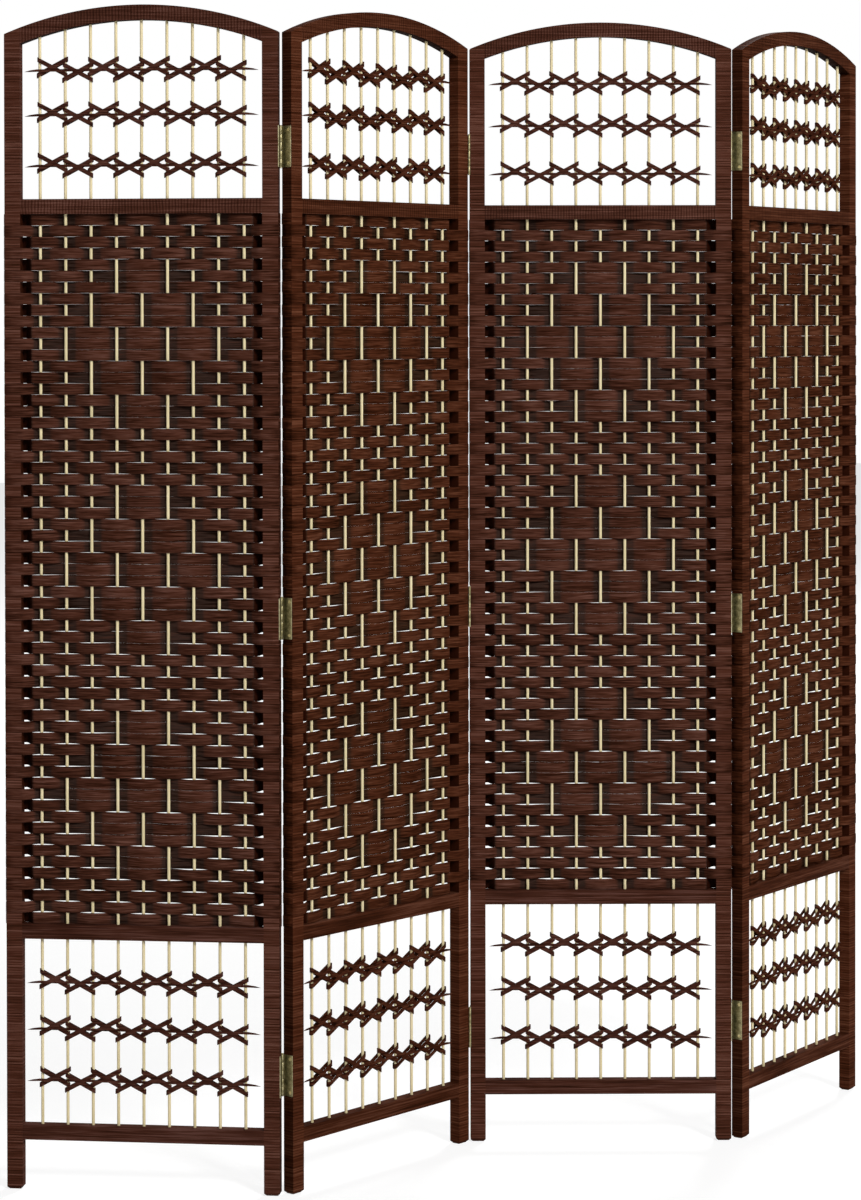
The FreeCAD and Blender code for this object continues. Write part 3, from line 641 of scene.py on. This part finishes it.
def addStrip(mesh, looks, line, panel, row, low, high, tone):
    s = wovenStrips
    half = s["thickness"] / 2
    points = [Vector((x, y, 0)) for x, y in line]
    middle = (low + high) / 2
    rings = []
    for index, point in enumerate(points):
        along = (points[min(index + 1, len(points) - 1)] - points[max(index - 1, 0)]).normalized()
        out = Vector((along.y, -along.x, 0))  # towards the front where the strip runs left to right
        spread = spreadAt(row, point.x)
        shift, opened = seamAt(panel, row, point.x)
        bottom = low + shift + opened / 2 - spread
        shift, opened = seamAt(panel, row - 1, point.x)
        top = high + shift - opened / 2 + spread
        profile = [
            (half, bottom + s["edgeRound"]),
            (half + s["crown"], middle),
            (half, top - s["edgeRound"]),
            (0, top),
            (-half, top - s["edgeRound"]),
            (-half - s["crown"], middle),
            (-half, bottom + s["edgeRound"]),
            (0, bottom),
        ]
        rings.append([mesh.verts.new(point + out * away + Vector((0, 0, z))) for away, z in profile])
        # how much painted shade and painted shadow each face of the strip takes
        front = tuckedAt(row, point.x, True)
        behind = tuckedAt(row, point.x, False)
        edge = (front + behind) / 2
        looks["tucked"].extend([front] * 3 + [edge] + [behind] * 3 + [edge])
        # painted shade round the stile's outer edge
        onEdge = not 0 <= point.x <= panelFrame["width"]
        looks["stripTone"].extend([tone - s["wrapTone"] * onEdge] * len(profile))
    for first, second in zip(rings, rings[1:]):
        for k in range(len(first)):
            after = (k + 1) % len(first)
            mesh.faces.new((first[k], first[after], second[after], second[k]))
    mesh.faces.new(rings[0][::-1])
    mesh.faces.new(rings[-1])


def makeWeave(panel, leftJoint, rightJoint):
    s = wovenStrips
    rng = random.Random(s["seed"] + panel)
    mesh = bmesh.new()
    looks = {"stripTone": [], "tucked": []}
    pitch = (weaveHigh - weaveLow) / s["rows"]
    reach = hinges["reach"]
    for row in range(1, s["rows"] + 1):
        low = weaveHigh - row * pitch
        high = low + pitch
        tone = rng.uniform(-1, 1) * s["toneSpread"]
        overFront = row % 2 == 0
        ends = []
        for joint, mirrored in ((leftJoint, False), (rightJoint, True)):
            near = [z for z in hinges.get(joint, ()) if low < z + reach and high > z - reach]
            if not near:
                ends.append(wrapLine(overFront) + faceLine(row, 0)[1:])
                continue
            pinAtFront = joint == "23"
            start = s["pinEnd"] if pinAtFront == overFront else s["freeEnd"]
            ends.append(faceLine(row, start))
            flapLow, flapHigh = low, min(high, near[0] - reach)  # part of the wrap below or above the hinge
            if flapHigh < low + s["flapLeast"]:
                flapLow, flapHigh = max(low, near[0] + reach), high
            if flapHigh > flapLow + s["flapLeast"]:
                flap = wrapLine(overFront) + faceLine(row, start)[:1]
                if mirrored:
                    flap = [(panelFrame["width"] - x, y) for x, y in reversed(flap)]
                addStrip(mesh, looks, flap, panel, row, flapLow, flapHigh, tone)
        addStrip(mesh, looks, stripLine(row, ends[0], ends[1]), panel, row, low, high, tone)
    mesh.transform(placeOfPanel(panel))
    bmesh.ops.recalc_face_normals(mesh, faces=mesh.faces[:])
    data = bpy.data.meshes.new(f"panel_{panel}_weave")
    mesh.to_mesh(data)
    mesh.free()
    data.polygons.foreach_set("use_smooth", [True] * len(data.polygons))
    for name, values in looks.items():
        data.attributes.new(name, "FLOAT", "POINT").data.foreach_set("value", values)
    data.materials.append(stripFinish[panel])
    piece = bpy.data.objects.new(f"panel_{panel}_weave", data)
    bpy.context.scene.collection.objects.link(piece)
    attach(piece, f"panel_{panel}")
    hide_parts(f"panel_{panel}_woven_strips")


for panel, leftJoint, rightJoint in ((1, None, "12"), (2, "12", "23"), (3, "23", "34"), (4, "34", None)):
    makeWeave(panel, leftJoint, rightJoint)
print("weave made")

# studio: white surroundings, pale floor that keeps a soft shadow, key light from the right
studio = {
    "floorSize": 40.0,
    "floorGlow": 0.74,  # with the light on it, the floor comes out just white
    "floorShadow": 0.32,
    "floorBounce": "#e6e6e6",
    "ambient": 0.12,
    "lampDistance": 10.0,
    "lampSize": 2.5,
    "lampAim": 0.85,  # half the screen's height
    "lamps": {  # degrees to the right of the camera, degrees up, watts
        "keyLamp": (31, 30, 1050),
        "fillLamp": (-15, 10, 50),
        "backLamp": (160, 40, 800),  # lights the back, which the camera doesn't see
    },
}
camera = {
    "place": (-2.1930, -4.4329, 1.2482),
    "heading": 25.382,  # degrees to the right of +Y
    "pitch": 0.799,  # degrees down
    "roll": 0.071,
    "lens": 98.83,
    "shiftUp": -0.1942,  # the photo keeps the uprights parallel, so the frame is shifted down
    "clipEnd": 100,
}


def backgroundRays(tree):  # 1 for the camera and for reflections and glass, which all see plain white
    rays = addNode(tree, "ShaderNodeLightPath")
    shiny = addNode(tree, "ShaderNodeMath", {"operation": "MAXIMUM"},
                    {0: rays.outputs["Is Glossy Ray"], 1: rays.outputs["Is Transmission Ray"]})
    direct = addNode(tree, "ShaderNodeMath", {"operation": "MAXIMUM"},
                     {0: rays.outputs["Is Camera Ray"], 1: shiny.outputs[0]})
    return direct.outputs[0]


def makeFloor():
    size = studio["floorSize"] / 2
    mesh = bmesh.new()
    plan = ((-size, -size), (size, -size), (size, size), (-size, size))
    mesh.faces.new([mesh.verts.new((x, y, 0)) for x, y in plan])
    data = bpy.data.meshes.new("floor")
    mesh.to_mesh(data)
    mesh.free()
    floor = bpy.data.objects.new("floor", data)
    bpy.context.scene.collection.objects.link(floor)
    material = bpy.data.materials.new("paleFloor")
    material.use_nodes = True
    tree = material.node_tree
    tree.nodes.clear()
    glow = addNode(tree, "ShaderNodeEmission", {"Strength": studio["floorGlow"]})
    shadow = addNode(tree, "ShaderNodeBsdfDiffuse", {"Color": [studio["floorShadow"]] * 3 + [1.0]})
    bounce = addNode(tree, "ShaderNodeBsdfDiffuse", {"Color": hexColour(studio["floorBounce"])})
    lit = addNode(tree, "ShaderNodeAddShader", {}, {0: glow.outputs[0], 1: shadow.outputs[0]})
    mixed = addNode(tree, "ShaderNodeMixShader", {},
                    {0: backgroundRays(tree), 1: bounce.outputs[0], 2: lit.outputs[0]})
    addNode(tree, "ShaderNodeOutputMaterial", {}, {"Surface": mixed.outputs[0]})
    data.materials.append(material)


def makeWorld():
    world = bpy.data.worlds.new("whiteStudio")
    bpy.context.scene.world = world
    world.use_nodes = True
    tree = world.node_tree
    tree.nodes.clear()
    strength = addNode(tree, "ShaderNodeMix", {"data_type": "FLOAT", 2: studio["ambient"], 3: 1.0},
                       {"Factor": backgroundRays(tree)})
    back = addNode(tree, "ShaderNodeBackground", {"Color": (1, 1, 1, 1)}, {"Strength": strength.outputs[0]})
    addNode(tree, "ShaderNodeOutputWorld", {}, {"Surface": back.outputs[0]})


def makeLamp(name, turn, rise, watts):
    azimuth = math.radians(camera["heading"] + 180 - turn)
    climb = math.radians(rise)
    level = math.cos(climb)
    toLamp = Vector((math.sin(azimuth) * level, math.cos(azimuth) * level, math.sin(climb)))
    data = bpy.data.lights.new(name, "AREA")
    data.energy = watts
    data.size = studio["lampSize"]
    lamp = bpy.data.objects.new(name, data)
    bpy.context.scene.collection.objects.link(lamp)
    lamp.location = Vector((0, 0, studio["lampAim"])) + toLamp * studio["lampDistance"]
    lamp.rotation_euler = toLamp.to_track_quat("Z", "Y").to_euler()
    lamp.visible_camera = False


def makeCamera():
    data = bpy.data.cameras.new("camera")
    data.lens = camera["lens"]
    data.shift_y = camera["shiftUp"]
    data.clip_end = camera["clipEnd"]
    view = bpy.data.objects.new("camera", data)
    bpy.context.scene.collection.objects.link(view)
    view.location = camera["place"]
    turns = (90 - camera["pitch"], camera["roll"], -camera["heading"])
    view.rotation_euler = [math.radians(turn) for turn in turns]
    bpy.context.scene.camera = view


makeFloor()
makeWorld()
for name, (turn, rise, watts) in studio["lamps"].items():
    makeLamp(name, turn, rise, watts)
makeCamera()
bpy.context.scene.view_settings.view_transform = "Standard"
print("studio set")
